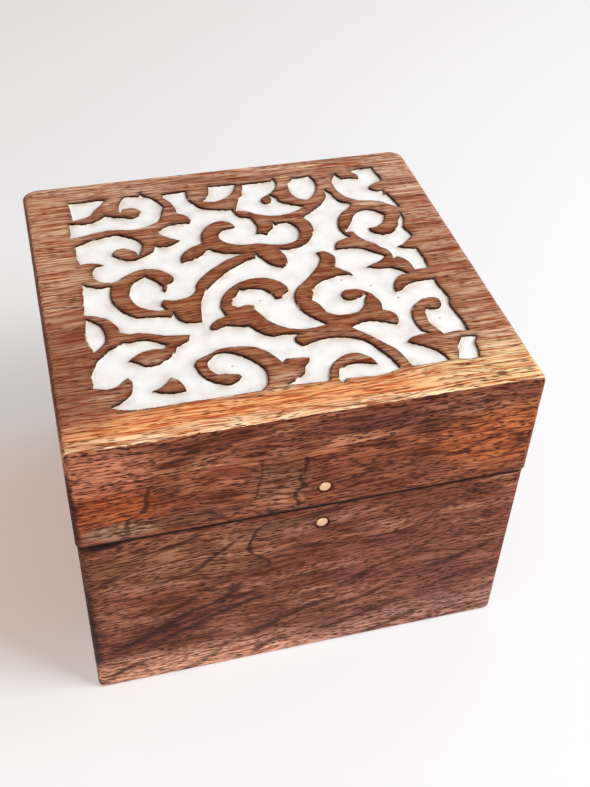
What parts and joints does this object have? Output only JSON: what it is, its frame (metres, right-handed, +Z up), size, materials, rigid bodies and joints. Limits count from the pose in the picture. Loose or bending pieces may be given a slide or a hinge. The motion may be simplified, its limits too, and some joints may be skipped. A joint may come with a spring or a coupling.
{
  "type": "jewelry box",
  "caption": "Square wooden box of thick boards with a hinged lid, white scrollwork let into the top, a felt lining and a small brass catch.",
  "frame": {"origin": "under the middle of the box, on the surface that it stands on", "axes": "+X to the right, +Y to the back, where the hinges are, +Z up"},
  "size_m": [0.1028, 0.098, 0.0813],
  "materials": {
    "lid_wood": "oiled reddish-brown hardwood with dark streaks",
    "side_wood": "oiled dark brown hardwood with short open pores",
    "white_inlay": "matte off-white",
    "brass": "satin",
    "black_felt": "felt"
  },
  "bodies": {
    "base": {"base_bottom_board": "side_wood", "base_front_wall": "side_wood", "base_back_wall": "side_wood", "base_left_wall": "side_wood", "base_right_wall": "side_wood", "base_floor_lining": "black_felt", "left_hinge_lower_leaf": "brass", "left_hinge_lower_screw_1": "brass", "left_hinge_lower_screw_2": "brass", "left_hinge_pin": "brass", "right_hinge_lower_leaf": "brass", "right_hinge_lower_screw_1": "brass", "right_hinge_lower_screw_2": "brass", "right_hinge_pin": "brass", "strike_pin": "brass"},
    "lid": {"lid_top_board": "lid_wood", "lid_front_wall": "side_wood", "lid_back_wall": "side_wood", "lid_left_wall": "side_wood", "lid_right_wall": "side_wood", "lid_lining": "black_felt", "inlay_corner_flag": "white_inlay", "inlay_upper_left_hook": "white_inlay", "inlay_left_branch": "white_inlay", "inlay_left_half_petal": "white_inlay", "inlay_great_scroll": "white_inlay", "inlay_top_petal": "white_inlay", "inlay_top_crescent": "white_inlay", "inlay_top_almond": "white_inlay", "inlay_upper_right_tail": "white_inlay", "inlay_right_curl": "white_inlay", "inlay_lower_right_chip": "white_inlay", "left_hinge_upper_leaf": "brass", "left_hinge_upper_screw_1": "brass", "left_hinge_upper_screw_2": "brass", "right_hinge_upper_leaf": "brass", "right_hinge_upper_screw_1": "brass", "right_hinge_upper_screw_2": "brass", "catch_pin": "brass", "catch_spring": "brass"}
  },
  "joints": [
    {"name": "lid_hinge", "type": "hinge", "parent": "base", "child": "lid", "pos_m": [0, 0.0471, 0.0531], "axis": [-1, 0, 0], "range_deg": [0, 100]}
  ]
}
